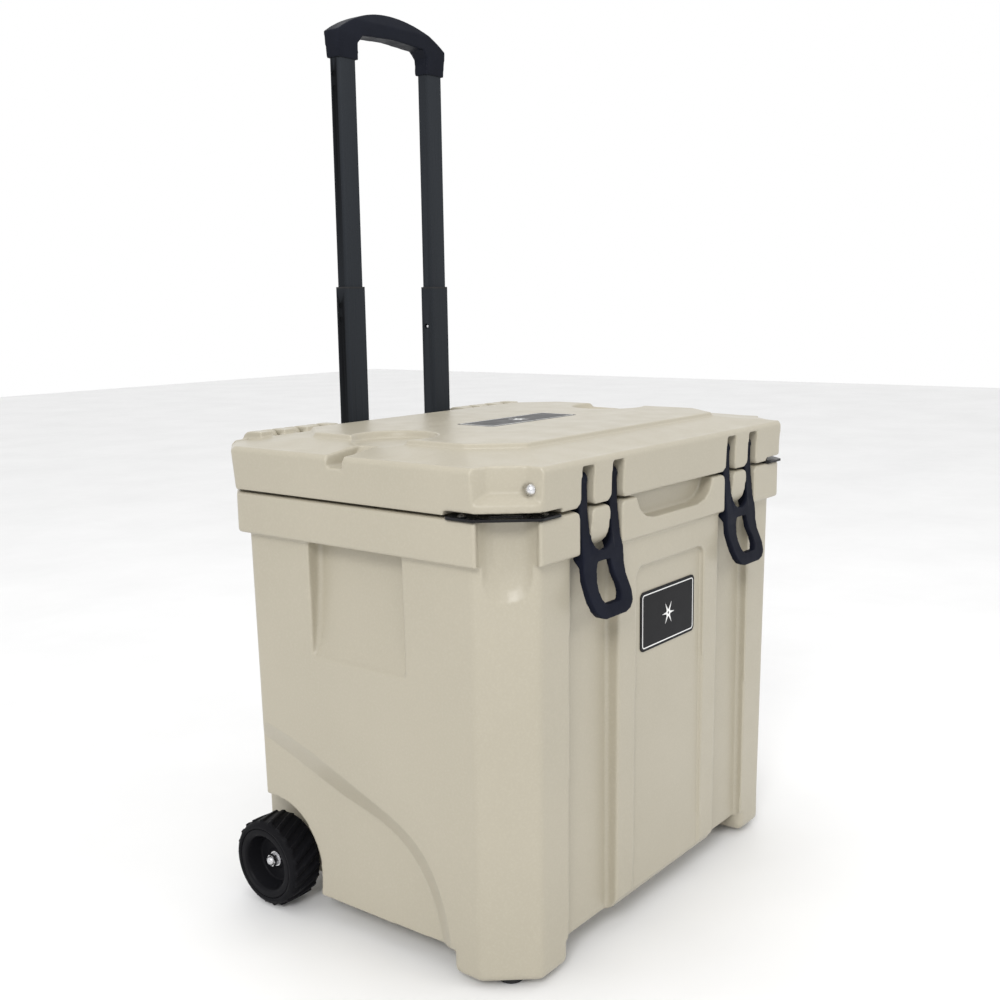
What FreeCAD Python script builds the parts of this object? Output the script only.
import FreeCAD, Part
import math
import os

# Hard cooler on wheels: thick-walled tub, hinged lid with two pull latches,
# two-stage telescopic tow handle in a rear channel and two rear wheels.
# Millimetres, +Z up, +X to the cooler's right.  The sub-parts are drawn with
# y = 0 on the front face of the rim; save() moves them so that the origin is
# on the floor below the middle of the whole object.

V = FreeCAD.Vector

# overall
HALF_W = 287.0          # half width of the rim
DEPTH = 424.0           # rim, front to back
CORNER_X = 40.0         # corner chamfer of rim and lid, along x
CORNER_Y = 47.0         # and along y
BASE_Z = 28.0           # underside of the tub
RIM_Z0 = 430.0
RIM_Z1 = 474.0
Y_SHIFT = -204.75       # from the drawing to the handed-in frame

# tub body
INSET_TOP = 9.0         # body behind the rim, below the rim
INSET_BASE = 13.0
LEG_Z = 7.0             # underside of the front legs
CAV_X = 224.0           # storage space, half width at the top
CAV_Y0 = 54.0
CAV_Y1 = 348.0
CAV_DRAFT = 7.0
CAV_FLOOR = 74.0

# front ribs
COLUMN_X = 187.5        # inner edge of the corner columns
FRAME_X = 106.0         # outer edge of the label frame
FRAME_Y = 5.5           # its face, behind the rim's
PANEL_X = 72.0
PANEL_TOP = 397.0
CHANNEL_Y = 22.0
PANEL_Y = 11.5

# latches
LATCH_X = 146.0
KEEPER_HALF = 16.0      # half width of the keeper block
SLOT_W = 21.0
SLOT_Y = 21.0           # depth of the slots in rim and lid
NOSE_Z = 464.0          # the keeper's nose starts here
PIVOT_Y = 12.0
PIVOT_Z = 502.0
ROD_R = 3.0

# lid
LID_Z0 = 477.0
LID_EDGE = 523.0
LID_SLOPE = 531.0       # top of the sloping border
LID_TOP = 536.0
BORDER = 58.0
OVERHANG = 3.0
PLUG_Z = 463.0
HINGE_Y = 413.0
HINGE_Z = 520.0
KNUCKLE_R = 12.5
KNUCKLE_X0 = 116.0
KNUCKLE_PITCH = 17.2
KNUCKLE_COUNT = 7
HINGE_ROD_R = 3.5
FIT = 0.05              # running clearance, on the radius

# tow handle
TUBE_X = 76.0
TUBE_Y = 406.0
NOTCH_X = 104.0
NOTCH_Y = 371.0         # front of the lid notch
CHANNEL_BACK = 385.0    # front wall of the rear channel
GUIDE = (39.5, 26.5, 2.0, 4.5)      # width, depth, wall, corner chamfer
MID = (34.0, 21.0, 1.3, 3.5)
TOP = (29.5, 16.5, 1.3, 2.7)
SLIDE_GAP = 0.35
GUIDE_Z0 = 122.0
GUIDE_Z1 = 446.0
PLATE_Z1 = 458.0
MID_Z0 = 360.0
MID_Z1 = 690.0
TOP_Z0 = 630.0
SOCKET_Z = 953.0
GRIP_Z = 1012.0
LOCK_Z = 642.0

# wheels
WHEEL_Y = 363.0
WHEEL_R = 50.0
WHEEL_X1 = 287.0        # outer face
WHEEL_W = 44.0
WELL_R = 75.0
WELL_X = 232.0
AXLE_R = 4.5


def box(x0, x1, y0, y1, z0, z1):
    return Part.makeBox(x1 - x0, y1 - y0, z1 - z0, V(x0, y0, z0))


def cyl_x(x0, x1, y, z, r):
    return Part.makeCylinder(r, x1 - x0, V(x0, y, z), V(1, 0, 0))


def cyl_y(y0, y1, x, z, r):
    return Part.makeCylinder(r, y1 - y0, V(x, y0, z), V(0, 1, 0))


def cyl_z(z0, z1, x, y, r):
    return Part.makeCylinder(r, z1 - z0, V(x, y, z0), V(0, 0, 1))


def face_of(points):
    return Part.Face(Part.makePolygon(points + [points[0]]))


def prism_x(pts, x0, x1):
    return face_of([V(x0, y, z) for y, z in pts]).extrude(V(x1 - x0, 0, 0))


def prism_y(pts, y0, y1):
    return face_of([V(x, y0, z) for x, z in pts]).extrude(V(0, y1 - y0, 0))


def prism_z(pts, z0, z1):
    return face_of([V(x, y, z0) for x, y in pts]).extrude(V(0, 0, z1 - z0))


def loft_z(levels):
    wires = []
    for pts, z in levels:
        corners = [V(x, y, z) for x, y in pts]
        wires.append(Part.makePolygon(corners + [corners[0]]))
    return Part.makeLoft(wires, True, True)


def fuse(shapes):
    whole = shapes[0].multiFuse(shapes[1:])
    return whole.removeSplitter()


def mirror(shape):
    return shape.mirror(V(0, 0, 0), V(1, 0, 0))


def both(shape):
    return [shape, mirror(shape)]


def is_upright(edge):
    a, b = edge.Vertexes[0].Point, edge.Vertexes[-1].Point
    return abs(a.z - b.z) > 0.5 * edge.Length


def is_level(edge, z):
    return all(abs(v.Point.z - z) < 0.01 for v in edge.Vertexes)


def round_edges(shape, r, pick):
    return shape.makeFillet(r, [e for e in shape.Edges if pick(e)])


def outline(grow):
    """Corner-chamfered plan outline, grown from the rim's own."""
    x = HALF_W + grow
    y0, y1 = -grow, DEPTH + grow
    return [(-x + CORNER_X, y0), (x - CORNER_X, y0), (x, y0 + CORNER_Y),
            (x, y1 - CORNER_Y), (x - CORNER_X, y1), (-x + CORNER_X, y1),
            (-x, y1 - CORNER_Y), (-x, y0 + CORNER_Y)]


def rect(x, y0, y1):
    return [(-x, y0), (x, y0), (x, y1), (-x, y1)]


def save(name, shape):
    placed = shape.copy()
    placed.translate(V(0, Y_SHIFT, 0))
    placed.exportStep("parts/" + name + ".step")


def save_pair(name, left):
    save(name + "_left", left)
    save(name + "_right", mirror(left))


# ---------------------------------------------------------------- tub

PLATE_SCREWS = [(-278.0, 68.0), (-228.0, 10.0)]
GUIDE_SCREWS = [(x, z) for x in (-26.0, 26.0) for z in (115.0, 452.0)]


def corner_frame(grow):
    """Middle of the front-left corner face and its inward direction."""
    middle = V(-HALF_W - grow + CORNER_X / 2, -grow + CORNER_Y / 2, 0)
    inward = V(CORNER_Y, CORNER_X, 0).normalize()
    along = V(CORNER_X, -CORNER_Y, 0).normalize()
    return middle, inward, along


# Corner pocket: depth behind the rim's corner face, half width, lowest point.
POCKET = [(-20, 44, 374), (0, 31, 384), (3, 28.5, 385), (9, 27, 388), (11, 25, 390.5),
          (14, 23, 395), (18, 19, 405), (22, 12, 425)]


def corner_pocket():
    """Scoop into the front-left corner, round below and eased at its mouth."""
    middle, inward, along = corner_frame(0)
    wires = []
    for depth, half, low in POCKET:
        base = middle + inward * depth
        corners = [base - along * half + V(0, 0, 490)]
        for k in range(9):
            turn = math.pi * k / 8
            corners.append(base - along * half * math.cos(turn) + V(0, 0, low + half * (1 - math.sin(turn))))
        corners.append(base + along * half + V(0, 0, 490))
        wires.append(Part.makePolygon(corners + [corners[0]]))
    return Part.makeLoft(wires, True, True)


def tub_body():
    body = loft_z([(outline(-INSET_BASE), BASE_Z), (outline(-INSET_TOP), RIM_Z0 + 1)])
    body = round_edges(body, 12, is_upright)
    body = round_edges(body, 9, lambda e: is_level(e, BASE_Z))
    rim = prism_z(outline(0), RIM_Z0, RIM_Z1)
    rim = round_edges(rim, 12, is_upright)
    rim = round_edges(rim, 3, lambda e: is_level(e, RIM_Z0) or is_level(e, RIM_Z1))
    leg = prism_z(outline(-INSET_BASE), LEG_Z, 60)
    leg = leg.common(box(-HALF_W, -COLUMN_X, 0, 96, 0, 80))
    leg = round_edges(leg, 9, is_upright)
    leg = round_edges(leg, 8, lambda e: is_level(e, LEG_Z))
    front = prism_x([(FRAME_Y, RIM_Z0 + 1), (FRAME_Y + 3, BASE_Z + 12), (FRAME_Y + 9, BASE_Z + 5),
                     (60, BASE_Z + 5), (60, RIM_Z0 + 1)], -FRAME_X, FRAME_X)
    front = round_edges(front, 2.5, lambda e: e.CenterOfMass.y < FRAME_Y + 5 and abs(e.CenterOfMass.x) > 1)
    return fuse([body, rim, front] + both(leg))


def front_cuts():
    channel = box(-COLUMN_X, -FRAME_X, -20, CHANNEL_Y, -5, RIM_Z0)
    channel = round_edges(channel, 4, lambda e: is_upright(e) and e.CenterOfMass.y > 0)
    panel = box(-PANEL_X, PANEL_X, -20, PANEL_Y, -5, PANEL_TOP)
    panel = round_edges(panel, 12, lambda e: abs(e.CenterOfMass.z - PANEL_TOP) < 1
                        and abs(e.CenterOfMass.x) > 1)
    left = [(-82, RIM_Z1 + 5), (-80, 471), (-74, 460), (-62, 451.5), (-46, 448)]
    finger = prism_y(left + [(-x, z) for x, z in reversed(left)], -5, 17)
    return both(channel) + [panel, finger]


def arm_slots(closed_z, mouth_z, deep):
    """The two slots of the left latch, flared where rim and lid meet."""
    step = 1 if closed_z < mouth_z else -1
    slots = []
    for middle in (LATCH_X - KEEPER_HALF - SLOT_W / 2, LATCH_X + KEEPER_HALF + SLOT_W / 2):
        half = []
        for w, z in ((SLOT_W / 2, closed_z), (SLOT_W / 2, mouth_z - 7 * step),
                     (SLOT_W / 2 + 1.5, mouth_z - 3 * step), (SLOT_W / 2 + 5, mouth_z),
                     (SLOT_W / 2 + 5, mouth_z + 2 * step)):
            half.append((w, z))
        pts = [(-middle - w, z) for w, z in half] + [(-middle + w, z) for w, z in reversed(half)]
        slots.append(prism_y(pts, -10, deep))
    return slots


KEEPER_SIDE = [(0, NOSE_Z), (1.1, 456), (2.1, 449.5), (3, 445), (4.4, 441), (7, 437), (10.5, 434.3),
               (14, 433), (SLOT_Y + 1, 433), (SLOT_Y + 1, NOSE_Z)]
KEEPER_FRONT = [(-16, 446), (-14.5, 440.5), (-11, 436.5), (-5, 433.8), (0, 433), (5, 433.8),
                (11, 436.5), (14.5, 440.5), (16, 446), (16, NOSE_Z), (-16, NOSE_Z)]


def keeper_nose():
    """Rounds the lower end of the keeper block, with relief below it."""
    block = box(-LATCH_X - 17, -LATCH_X + 17, -5, SLOT_Y, RIM_Z0 - 2, NOSE_Z)
    side = prism_x(KEEPER_SIDE, -LATCH_X - 20, -LATCH_X + 20)
    front = prism_y([(x - LATCH_X, z) for x, z in KEEPER_FRONT], -10, 30)
    return block.cut(side.common(front))


def latch_cuts():
    cuts = arm_slots(RIM_Z0 - 2, RIM_Z1, SLOT_Y) + [keeper_nose()]
    return [m for c in cuts for m in both(c)]


def hand_recess():
    """Scoop below the side rim: deep at the top, curving out at the foot."""
    x = HALF_W - 10
    profile = [(-x - 12, 300), (-x, 304), (-x + 4, 309), (-x + 8, 320), (-x + 11, 338), (-x + 15, 380),
               (-x + 17, RIM_Z0 - 1), (-x - 12, RIM_Z0 - 1)]
    scoop = prism_y(profile, 147, 279)
    return round_edges(scoop, 5, lambda e: e.Length > 35 and is_upright(e) and e.CenterOfMass.x > -x + 9)


STEP_OUTER = [(424.0, 224.0), (368.0, 216.0), (291.0, 196.0), (203.0, 164.0),
              (134.0, 128.0), (108.0, 88.0), (97.0, 50.0), (93.0, 18.0)]
STEP_INNER = [(424.0, 197.0), (378.0, 187.0), (258.0, 149.0), (171.0, 121.0),
              (134.0, 76.0), (124.0, 44.0), (121.0, 30.0), (119.0, 18.0)]


def step_wire(points, x):
    curve = Part.BSplineCurve()
    curve.interpolate([V(x, y, z) for y, z in points])
    first, last = points[0], points[-1]
    tail = Part.makePolygon([V(x, last[0], last[1]), V(x, last[0], 0),
                             V(x, first[0], 0), V(x, first[0], first[1])])
    return Part.Wire([curve.toShape()] + tail.Edges)


def fender_depth(y, z):
    """Depth of the wheel side below the curve; it fades towards the wheel."""
    run = (y - 119) * 0.506 - (z - 18) * 0.862
    return 10 - 0.065 * run


def side_step():
    """Lower rear of the side, set back behind a curved bevel."""
    x = HALF_W - 11.5
    bevel = Part.makeLoft([step_wire(STEP_OUTER, -x), step_wire(STEP_INNER, -x + 14)], True, True)
    field = [(90, -60), (90, 260), (440, 260), (440, -60)]
    face = face_of([V(-x + fender_depth(y, z), y, z) for y, z in field])
    outside = face.extrude(V(-60, 0, 0))
    clear = Part.Face(step_wire(STEP_OUTER, -x)).extrude(V(-20, 0, 0))
    return [bevel.common(outside), clear.common(outside)]


def wheel_well():
    arch = cyl_x(-HALF_W - 20, -WELL_X, WHEEL_Y, WHEEL_R, WELL_R)
    behind = box(-HALF_W - 20, -WELL_X, WHEEL_Y, DEPTH + 20, -5, WHEEL_R + WELL_R)
    below = box(-HALF_W - 20, -WELL_X, WHEEL_Y - WELL_R, DEPTH, -5, WHEEL_R)
    return fuse([arch, behind, below])


def rear_channel():
    return box(-NOTCH_X, NOTCH_X, CHANNEL_BACK, DEPTH + 20, 104, RIM_Z1 + 5)


def cavity():
    top = rect(CAV_X, CAV_Y0, CAV_Y1)
    base = rect(CAV_X - CAV_DRAFT, CAV_Y0 + CAV_DRAFT, CAV_Y1 - CAV_DRAFT)
    space = loft_z([(base, CAV_FLOOR), (top, RIM_Z1 + 5)])
    space = round_edges(space, 18, is_upright)
    return round_edges(space, 10, lambda e: is_level(e, CAV_FLOOR))


DRAIN_Y = 80.0
DRAIN_Z = 85.0
DRAIN_R = 11.0
DRAIN_X = HALF_W - 12.3


def knuckle_spans(first):
    step = KNUCKLE_PITCH
    return [(-KNUCKLE_X0 - step * (k + 1) + 0.4, -KNUCKLE_X0 - step * k - 0.4)
            for k in range(first, KNUCKLE_COUNT, 2)]


def tub_knuckles():
    parts = []
    for x0, x1 in knuckle_spans(1):
        parts.append(cyl_x(x0, x1, HINGE_Y, HINGE_Z, KNUCKLE_R))
        parts.append(box(x0, x1, HINGE_Y - 11, HINGE_Y + 10, RIM_Z1 - 5, HINGE_Z))
    return parts


def tub_shell():
    """Foam-filled moulding; skin and foam are bonded into one wall."""
    cuts = front_cuts() + latch_cuts() + both(hand_recess()) + both(wheel_well())
    for tool in side_step() + [corner_pocket()]:
        cuts += both(tool)
    shell = tub_body().cut(cuts + [rear_channel()])
    shell = fuse([shell] + [m for p in tub_knuckles() for m in both(p)])
    holes = [cyl_x(-HALF_W, HALF_W, WHEEL_Y, WHEEL_R, AXLE_R + FIT),
             cyl_x(150, HALF_W, DRAIN_Y, DRAIN_Z, DRAIN_R + FIT)]
    holes += both(cyl_x(-HALF_W, -100, HINGE_Y, HINGE_Z, HINGE_ROD_R + FIT))
    holes += [cyl_y(360, 400, x, z, 3 + FIT) for x, z in GUIDE_SCREWS]
    holes += both(cyl_z(0, 40, -236, 51, 3 + FIT))
    holes += [m for x, y in PLATE_SCREWS for m in both(cyl_z(460, 480, x, y, 2 + FIT))]
    return shell.cut([cavity()] + holes)


# ------------------------------------------------- fittings of the tub

def plate_outline(grow):
    x = HALF_W + 2.5 + grow
    y = -2.5 - grow
    return [(-x, 82 + grow), (-x, 47), (-x + CORNER_X + 1, y), (-215 + grow, y), (-215 + grow, 16 + grow),
            (-240 + grow, 22 + grow), (-262 + grow, 48 + grow), (-268 + grow, 82 + grow)]


def corner_plate():
    """Steel plate across the corner pocket, with a padlock slot."""
    plate = prism_z(plate_outline(0), RIM_Z1, RIM_Z1 + 2.6)
    plate = round_edges(plate, 5, is_upright)
    middle, inward, along = corner_frame(0)
    slot = Part.makeBox(34, 9, 6, V(-17, -4.5, -3))
    slot = round_edges(slot, 4.4, is_upright)
    turn = math.degrees(math.atan2(along.y, along.x))
    slot.rotate(V(0, 0, 0), V(0, 0, 1), turn)
    slot.translate(middle + inward * 11 + V(0, 0, RIM_Z1 + 1))
    holes = [cyl_z(RIM_Z1 - 1, RIM_Z1 + 4, x, y, 2 + FIT) for x, y in PLATE_SCREWS]
    return plate.cut([slot] + holes)


def plate_screw(x, y):
    shank = cyl_z(RIM_Z1 - 12, RIM_Z1 + 2.6, x, y, 2)
    ball = Part.makeSphere(5.5, V(x, y, RIM_Z1 - 0.4))
    head = ball.common(cyl_z(RIM_Z1 + 2.6, RIM_Z1 + 9, x, y, 9))
    return shank.fuse(head).removeSplitter()


def foot():
    pad = Part.makeCone(13, 15, LEG_Z, V(-236, 51, 0), V(0, 0, 1))
    pad = round_edges(pad, 1.5, lambda e: is_level(e, 0))
    return pad.cut([cyl_z(-1, 4, -236, 51, 6), cyl_z(0, 20, -236, 51, 3 + FIT)])


def foot_screw():
    return cyl_z(1.5, 30, -236, 51, 3).fuse(cyl_z(1.5, 3.9, -236, 51, 5.5)).removeSplitter()


def front_label():
    label = box(-57, 57, PANEL_Y - 1.2, PANEL_Y, 301, 366)
    return round_edges(label, 6, lambda e: abs(e.Vertexes[0].Point.y - e.Vertexes[-1].Point.y) > 1)


def guide_plate(z0, z1, open_through):
    plate = box(-NOTCH_X + 2, NOTCH_X - 2, CHANNEL_BACK + 0.2, DEPTH - 5, z0, z1)
    plate = round_edges(plate, 3, lambda e: is_upright(e) and e.CenterOfMass.y > 400)
    tools = [cyl_y(CHANNEL_BACK - 1, DEPTH, x, z, 3 + FIT) for x, z in GUIDE_SCREWS]
    if open_through:
        tools += both(tube_block(MID, 0.5, z0 - 1, z1 + 1))
    return plate.cut(tools)


def guide_screw(x, z):
    shank = cyl_y(CHANNEL_BACK - 18, DEPTH - 5, x, z, 3)
    head = Part.makeSphere(6.5, V(x, DEPTH - 9, z)).common(box(x - 9, x + 9, DEPTH - 5, DEPTH, z - 9, z + 9))
    return shank.fuse(head)


def axle():
    rod = cyl_x(-WHEEL_X1 + 8, WHEEL_X1 - 8, WHEEL_Y, WHEEL_R, AXLE_R)
    return round_edges(rod, 1, lambda e: abs(e.CenterOfMass.x) > 200)


def hex_nut(x0, x1, across):
    pts = []
    for k in range(6):
        a = math.radians(60 * k)
        r = across / 2 / math.cos(math.radians(30))
        pts.append((WHEEL_Y + r * math.cos(a), WHEEL_R + r * math.sin(a)))
    nut = prism_x(pts, x0, x1)
    cap = Part.makeSphere(across / 2, V(x0 + 2, WHEEL_Y, WHEEL_R))
    cap = cap.common(box(x0 - across, x0, WHEEL_Y - 20, WHEEL_Y + 20, 0, 100))
    return fuse([nut, cap]).cut(cyl_x(x0 - 2, x1 + 1, WHEEL_Y, WHEEL_R, AXLE_R))


def axle_nut():
    return hex_nut(-WHEEL_X1 + 10, -WHEEL_X1 + 17, 12)


def washer(x0, x1):
    ring = cyl_x(x0, x1, WHEEL_Y, WHEEL_R, 8.5)
    return ring.cut(cyl_x(x0 - 1, x1 + 1, WHEEL_Y, WHEEL_R, AXLE_R + FIT))


def drain_body():
    tube = cyl_x(216, DRAIN_X + 1, DRAIN_Y, DRAIN_Z, DRAIN_R)
    flange = cyl_x(DRAIN_X, DRAIN_X + 4, DRAIN_Y, DRAIN_Z, 16)
    return fuse([tube, flange]).cut(cyl_x(200, HALF_W, DRAIN_Y, DRAIN_Z, DRAIN_R - 3))


def drain_seal():
    ring = cyl_x(DRAIN_X + 4, DRAIN_X + 6, DRAIN_Y, DRAIN_Z, 11)
    return ring.cut(cyl_x(DRAIN_X + 3, DRAIN_X + 7, DRAIN_Y, DRAIN_Z, DRAIN_R - 2.6))


def drain_plug():
    stem = cyl_x(224, DRAIN_X + 7, DRAIN_Y, DRAIN_Z, DRAIN_R - 3 - FIT)
    cap = cyl_x(DRAIN_X + 6.1, DRAIN_X + 9, DRAIN_Y, DRAIN_Z, 13)
    wing = box(DRAIN_X + 8, HALF_W - 0.5, DRAIN_Y - 11, DRAIN_Y + 11, DRAIN_Z - 2.5, DRAIN_Z + 2.5)
    return fuse([stem, cap, wing])


# ---------------------------------------------------------------- lid

def lid_solid():
    levels = [(outline(0.5), LID_Z0), (outline(OVERHANG), LID_EDGE - 4),
              (outline(OVERHANG - 3), LID_EDGE + 0.6)]
    side = loft_z(levels[:2])
    side = round_edges(side, 12, is_upright)
    lip = loft_z(levels[1:])
    lip = round_edges(lip, 12, is_upright)
    slope = loft_z([(outline(OVERHANG - 3.2), LID_EDGE), (outline(-BORDER), LID_SLOPE)])
    crown = loft_z([(outline(-BORDER), LID_SLOPE - 3), (outline(-BORDER - 3), LID_TOP)])
    plug = prism_z(rect(CAV_X - 4, CAV_Y0 + 5, CAV_Y1 - 4), PLUG_Z, LID_Z0 + 1)
    plug = round_edges(plug, 16, is_upright)
    return fuse([side, lip, slope, crown, plug])


def lid_corner_recess():
    """Cut-back corner face above a sloping ledge, where the latch rod ends."""
    middle, inward, along = corner_frame(0)
    outer, inner = middle - inward * 20, middle + inward * 9
    pts = [outer - along * 63, outer + along * 63, inner + along * 18, inner - along * 18]
    recess = prism_z([(p.x, p.y) for p in pts], 460, LID_TOP + 5)
    ledge = [(-22, 464), (-2, 488.5), (9, 499), (9, 545), (-22, 545)]
    face = face_of([middle - along * 70 + inward * d + V(0, 0, z) for d, z in ledge])
    return recess.common(face.extrude(along * 140))


def lid_cup():
    """Shallow round dish near each side edge with a drain notch outwards."""
    dish = Part.makeCone(43, 47, 9, V(-203, 222, LID_TOP - 8), V(0, 0, 1))
    notch = prism_x([(210, 540), (213, 511), (234, 511), (237, 540)], -HALF_W - 10, -252)
    ramp = prism_y([(-253, 511), (-253, 545), (-236, 545), (-236, 528)], 212, 235)
    return [dish, notch, ramp]


def lid_back_cuts():
    """Notch round the tow handle and a pocket for every tub knuckle."""
    notch = box(-NOTCH_X, NOTCH_X, NOTCH_Y, DEPTH + 10, LID_Z0 - 20, LID_TOP + 5)
    notch = round_edges(notch, 14, lambda e: is_upright(e) and e.CenterOfMass.y < 380)
    ease = prism_x([(NOTCH_Y - 9, LID_TOP + 1), (NOTCH_Y + 1, 523), (NOTCH_Y + 1, LID_TOP + 1)],
                   -NOTCH_X + 12, NOTCH_X - 12)
    cuts = [notch, ease]
    end = KNUCKLE_X0 + KNUCKLE_PITCH * KNUCKLE_COUNT
    cuts += both(box(-end - 0.4, -KNUCKLE_X0 + 0.4, HINGE_Y - 14.5, DEPTH + 10, LID_Z0 - 5, LID_TOP + 5))
    return cuts


def lid_knuckles():
    parts = []
    for x0, x1 in knuckle_spans(0):
        parts.append(cyl_x(x0, x1, HINGE_Y, HINGE_Z, KNUCKLE_R))
        parts.append(box(x0, x1, HINGE_Y - 20, HINGE_Y, HINGE_Z - 8, HINGE_Z + KNUCKLE_R))
    return parts


def gasket_ring(grow, z0, z1):
    outer = round_edges(prism_z(rect(CAV_X + 16 + grow, CAV_Y0 - 15 - grow, CAV_Y1 + 15 + grow), z0, z1),
                        20, is_upright)
    inner = round_edges(prism_z(rect(CAV_X + 7 - grow, CAV_Y0 - 6 + grow, CAV_Y1 + 6 - grow), z0 - 1, z1 + 1),
                        12, is_upright)
    return outer.cut(inner)


def lid_shell():
    """Foam-filled moulding with a plug that drops into the tub."""
    lid = lid_solid()
    cuts = [gasket_ring(0.4, LID_Z0 - 1, LID_Z0 + 4), badge(0.3, LID_TOP - 1.6, LID_TOP + 1)]
    cuts += both(lid_corner_recess()) + lid_back_cuts()
    cuts += both(prism_z(plate_outline(2), LID_Z0 - 1, LID_Z0 + 4.5))
    for tool in arm_slots(516.5, LID_Z0, SLOT_Y + 3) + lid_cup():
        cuts += both(tool)
    lid = fuse([lid.cut(cuts)] + [m for p in lid_knuckles() for m in both(p)])
    holes = both(cyl_x(-HALF_W, -92, PIVOT_Y, PIVOT_Z, ROD_R + FIT))
    holes += both(cyl_x(-HALF_W, -246, PIVOT_Y, PIVOT_Z, 7))
    holes += both(cyl_x(-HALF_W, -100, HINGE_Y, HINGE_Z, HINGE_ROD_R + FIT))
    return lid.cut(holes)


def badge(grow, z0, z1):
    plate = prism_z(rect(82 + grow, 186 - grow, 240 + grow), z0, z1)
    return round_edges(plate, 5, is_upright)


def latch_rod():
    rod = cyl_x(-248, -94, PIVOT_Y, PIVOT_Z, ROD_R)
    head = Part.makeSphere(6.2, V(-245.5, PIVOT_Y, PIVOT_Z)).common(
        box(-260, -246, 0, 30, 480, 520))
    return rod.fuse(head).removeSplitter()


# Pull latch, seen from the side (y, z) and from the front (x, z).
LOOP_FACE = [(-2, 428), (-2.5, 413), (-5, 401), (-11, 387), (-15.5, 375), (-17.5, 366)]
LOOP_BACK = [(-9.5, 366), (-7, 378), (-2, 391), (2.5, 404), (3.5, 417)]
ARM_BACK = [(10, 424), (14, 436), (15, 450), (15, PIVOT_Z), (5, PIVOT_Z), (4, 470), (0.5, 440)]
BAR_BACK = [(3.5, 448), (0.5, 448)]
LATCH_FRONT = [(-34, 510), (-34, 440), (-36, 425), (-36, 384), (-33, 375), (-27, 369), (-18, 366),
               (18, 366), (27, 369), (33, 375), (36, 384), (36, 425), (34, 440), (34, 510)]
ARM_GAP = [(-19, 515), (-19, 449), (-17.5, 441.5), (-13.5, 435.5), (-7, 431.5), (0, 430.2),
           (7, 431.5), (13.5, 435.5), (17.5, 441.5), (19, 449), (19, 515)]
FINGER_HOLE = [(-11, 420), (-18, 393), (-17, 385), (-12, 379), (12, 379), (17, 385), (18, 393), (11, 420)]


def latch():
    """Rubber pull latch: two pivoted arms, hook bar and outward-curved loop."""
    def seen_from_front(points, x_shift=-LATCH_X):
        return prism_y([(x + x_shift, z) for x, z in points], -40, 40)

    def runs_along_y(edge):
        a, b = edge.Vertexes[0].Point, edge.Vertexes[-1].Point
        return abs(a.y - b.y) > 5

    arms = fuse([prism_x(LOOP_FACE + LOOP_BACK + ARM_BACK, -200, -90),
                 cyl_x(-200, -90, PIVOT_Y, PIVOT_Z, 8.2)])
    arms = arms.cut(box(-LATCH_X - 19, -LATCH_X + 19, -40, 40, 360, 520))
    middle = prism_x(LOOP_FACE + LOOP_BACK + BAR_BACK, -LATCH_X - 19, -LATCH_X + 19)
    body = fuse([arms, middle]).common(seen_from_front(LATCH_FRONT))
    hole = round_edges(seen_from_front(FINGER_HOLE), 3, runs_along_y)
    bore = cyl_x(-220, -80, PIVOT_Y, PIVOT_Z, ROD_R + FIT)
    return body.cut([seen_from_front(ARM_GAP), hole, bore])


# ---------------------------------------------------------- tow handle

def octagon(w, d, c, x, y):
    a, b = w / 2, d / 2
    return [(x - a + c, y - b), (x + a - c, y - b), (x + a, y - b + c), (x + a, y + b - c),
            (x + a - c, y + b), (x - a + c, y + b), (x - a, y + b - c), (x - a, y - b + c)]


def tube_block(size, grow, z0, z1):
    """Solid bar to a tube's outline, grown on every side."""
    w, d, wall, c = size
    pts = octagon(w + 2 * grow, d + 2 * grow, c + 0.6 * grow, -TUBE_X, TUBE_Y)
    return prism_z(pts, z0, z1)


def tube(size, z0, z1):
    return tube_block(size, 0, z0, z1).cut(tube_block(size, -size[2], z0 - 1, z1 + 1))


def dimple(x, z):
    """Round crimp mark on the side of a tube."""
    return cyl_x(x - 1, x + 0.5, TUBE_Y, z, 3.2)


def mid_tube():
    body = tube(MID, MID_Z0, MID_Z1)
    x = -TUBE_X - MID[0] / 2
    port = cyl_x(-TUBE_X + 10, -TUBE_X + 20, TUBE_Y, LOCK_Z, 3.4)
    return body.cut([dimple(x, MID_Z1 - 20), dimple(x, MID_Z1 - 36), port])


def mid_collar():
    """Plastic collar that closes the mouth of the middle tube."""
    sleeve = tube_block(MID, -MID[2], MID_Z1 - 14, MID_Z1)
    lip = tube_block(MID, 0, MID_Z1, MID_Z1 + 2)
    return fuse([sleeve, lip]).cut(tube_block(TOP, SLIDE_GAP, MID_Z1 - 15, MID_Z1 + 3))


def mid_foot():
    """Slide shoe below the lower end of the middle tube."""
    shoe = tube_block(GUIDE, -GUIDE[2] - SLIDE_GAP, MID_Z0 - 4, MID_Z0)
    return shoe.cut(tube_block(TOP, SLIDE_GAP, MID_Z0 - 5, MID_Z0 + 1))


def top_tube():
    body = tube(TOP, TOP_Z0, SOCKET_Z + 22)
    x = -TUBE_X - TOP[0] / 2
    port = cyl_x(-TUBE_X, -TUBE_X + 20, TUBE_Y, LOCK_Z, 2.8)
    return body.cut([dimple(x, SOCKET_Z - 18), dimple(x, SOCKET_Z - 34), port])


def top_foot():
    """Plug in the lower end of the upper tube, bored for the lock pin."""
    core = tube_block(TOP, -TOP[2], TOP_Z0, TOP_Z0 + 28)
    skirt = tube_block(MID, -MID[2] - SLIDE_GAP, TOP_Z0 - 5, TOP_Z0)
    bore = cyl_x(-TUBE_X + 2, -TUBE_X + 20, TUBE_Y, LOCK_Z, 2.4 + FIT)
    return fuse([core, skirt]).cut(bore)


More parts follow.
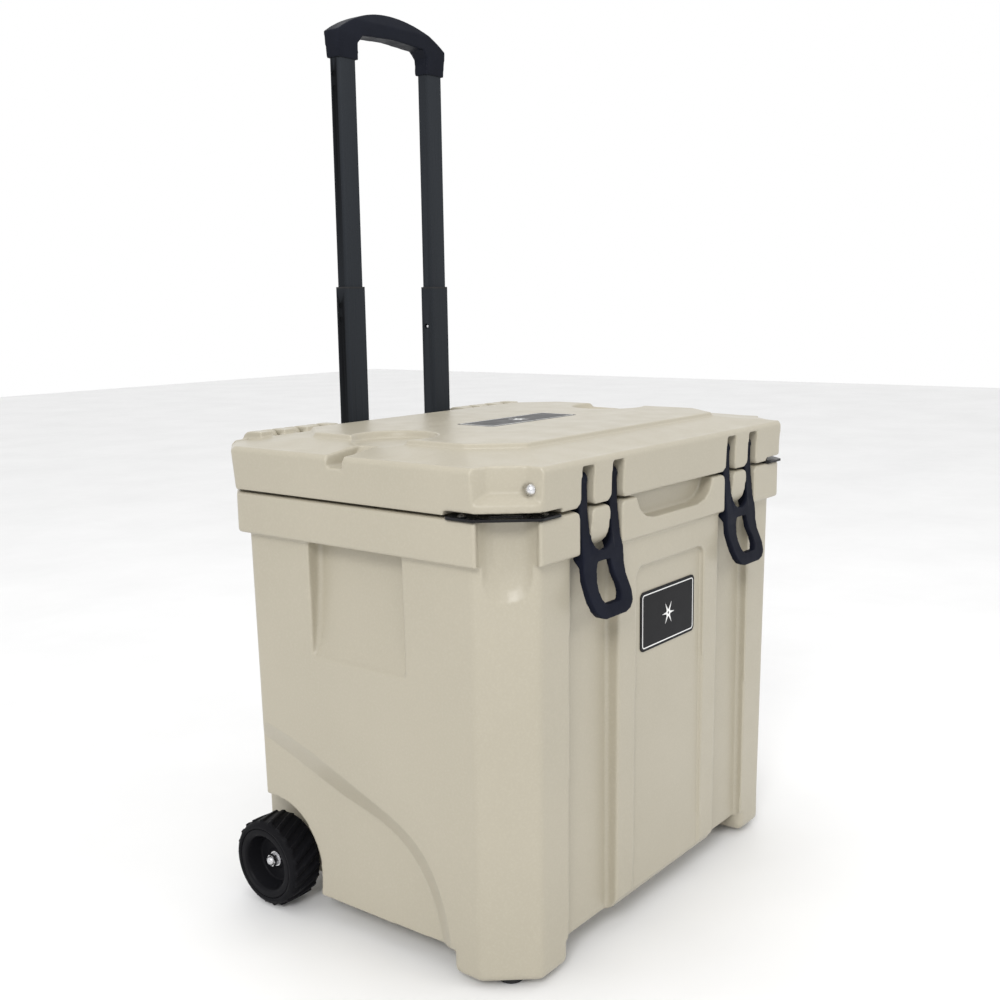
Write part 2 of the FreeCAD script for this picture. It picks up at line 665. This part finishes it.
def lock_pin():
    """Spring pin seen through the port in the middle tube."""
    x1 = -TUBE_X + MID[0] / 2 - MID[2] - 0.4
    pin = cyl_x(x1 - 9, x1, TUBE_Y, LOCK_Z, 2.4)
    return round_edges(pin, 1.2, lambda e: abs(e.CenterOfMass.x - x1) < 0.01)


def grip():
    """Arched grip; each end narrows to a socket over an upper tube."""
    outer, inner = TUBE_X + 17.5, TUBE_X - 16.5
    arch = Part.Arc(V(-outer, TUBE_Y - 12, 983), V(0, TUBE_Y - 12, GRIP_Z), V(outer, TUBE_Y - 12, 983))
    rest = [V(x, TUBE_Y - 12, z) for x, z in
            ((outer, 983), (outer - 1, SOCKET_Z), (inner, SOCKET_Z), (inner + 1, 972), (inner - 7, 981),
             (0, 984), (-inner + 7, 981), (-inner - 1, 972), (-inner, SOCKET_Z), (-outer + 1, SOCKET_Z),
             (-outer, 983))]
    wire = Part.Wire([arch.toShape()] + Part.makePolygon(rest).Edges)
    front = Part.Face(wire).extrude(V(0, 24, 0))
    side = [(-9.5, SOCKET_Z - 1), (9.5, SOCKET_Z - 1), (12, 981), (12, 998), (6, GRIP_Z + 1),
            (-6, GRIP_Z + 1), (-12, 998), (-12, 981)]
    body = front.common(prism_x([(TUBE_Y + y, z) for y, z in side], -outer - 1, outer + 1))
    sockets = both(tube_block(TOP, FIT, SOCKET_Z - 1, SOCKET_Z + 22.1))
    return body.cut(sockets)


# -------------------------------------------------------------- wheels

def turned(profile):
    """Solid of revolution about the axle; profile in (x, radius)."""
    face = face_of([V(x, WHEEL_Y, WHEEL_R + r) for x, r in profile])
    return face.revolve(V(0, WHEEL_Y, WHEEL_R), V(1, 0, 0), 360)


def tyre():
    a, b = -WHEEL_X1, -WHEEL_X1 + WHEEL_W
    ring = turned([(a + 1, 40), (a, 43), (a + 2, 46.6), (a + 5, 48), (b - 5, 48), (b - 2, 46.6),
                   (b, 43), (b - 1, 40)])
    lug = box(a + 3, b - 3, WHEEL_Y - 2.6, WHEEL_Y + 2.6, WHEEL_R + 46.5, WHEEL_R + WHEEL_R)
    lug.rotate(V((a + b) / 2, WHEEL_Y, WHEEL_R), V(0, 0, 1), 24)
    rim = cyl_x(a + 2.5, b - 2.5, WHEEL_Y, WHEEL_R, WHEEL_R)
    lug = lug.common(rim)
    lugs = []
    for k in range(22):
        one = lug.copy()
        one.rotate(V(0, WHEEL_Y, WHEEL_R), V(1, 0, 0), 360.0 * k / 22)
        lugs.append(one)
    return fuse([ring] + lugs)


def wheel_hub():
    a, b = -WHEEL_X1, -WHEEL_X1 + WHEEL_W
    r = AXLE_R + FIT
    return turned([(a + 18, r), (a + 18, 10), (a + 20, 12), (a + 20, 26), (a + 3, 31), (a + 1, 33),
                   (a + 1, 40), (b - 1, 40), (b - 1, 33), (a + 26, 30), (a + 26, 12), (b, 10), (b, r)])


def main():
    os.makedirs("parts", exist_ok=True)
    save("tub_shell", tub_shell())
    save_pair("corner_plate", corner_plate())
    save("plate_screws", Part.makeCompound([m for x, y in PLATE_SCREWS for m in both(plate_screw(x, y))]))
    save_pair("foot", foot())
    save("foot_screws", Part.makeCompound(both(foot_screw())))
    save("front_label", front_label())
    save_pair("guide_tube", tube(GUIDE, GUIDE_Z0, GUIDE_Z1))
    save("guide_top_plate", guide_plate(GUIDE_Z1, PLATE_Z1, True))
    save("guide_base_plate", guide_plate(GUIDE_Z0 - 14, GUIDE_Z0, False))
    save("guide_screws", Part.makeCompound([guide_screw(x, z) for x, z in GUIDE_SCREWS]))
    save("axle", axle())
    save("axle_nuts", Part.makeCompound(both(axle_nut())))
    save("axle_washers", Part.makeCompound(both(washer(-WHEEL_X1 + 17, -WHEEL_X1 + 17.8))
                                           + both(washer(-WHEEL_X1 + WHEEL_W + 0.5, -WELL_X))))
    hinge_end = KNUCKLE_X0 + KNUCKLE_PITCH * KNUCKLE_COUNT
    save_pair("hinge_rod", cyl_x(-hinge_end - 3, -KNUCKLE_X0 + 3, HINGE_Y, HINGE_Z, HINGE_ROD_R))
    save("drain_body", drain_body())
    save("drain_seal", drain_seal())
    save("drain_plug", drain_plug())
    save("lid_shell", lid_shell())
    save("lid_gasket", gasket_ring(0, RIM_Z1 + 0.4, LID_Z0 + 3.8))
    save("lid_badge", badge(0, LID_TOP - 1.5, LID_TOP - 0.2))
    save_pair("latch_rod", latch_rod())
    save_pair("latch", latch())
    save_pair("mid_tube", mid_tube())
    save_pair("mid_collar", mid_collar())
    save_pair("mid_foot", mid_foot())
    save_pair("top_tube", top_tube())
    save_pair("top_foot", top_foot())
    save_pair("lock_pin", lock_pin())
    save("grip", grip())
    save_pair("tyre", tyre())
    save_pair("wheel_hub", wheel_hub())


main()
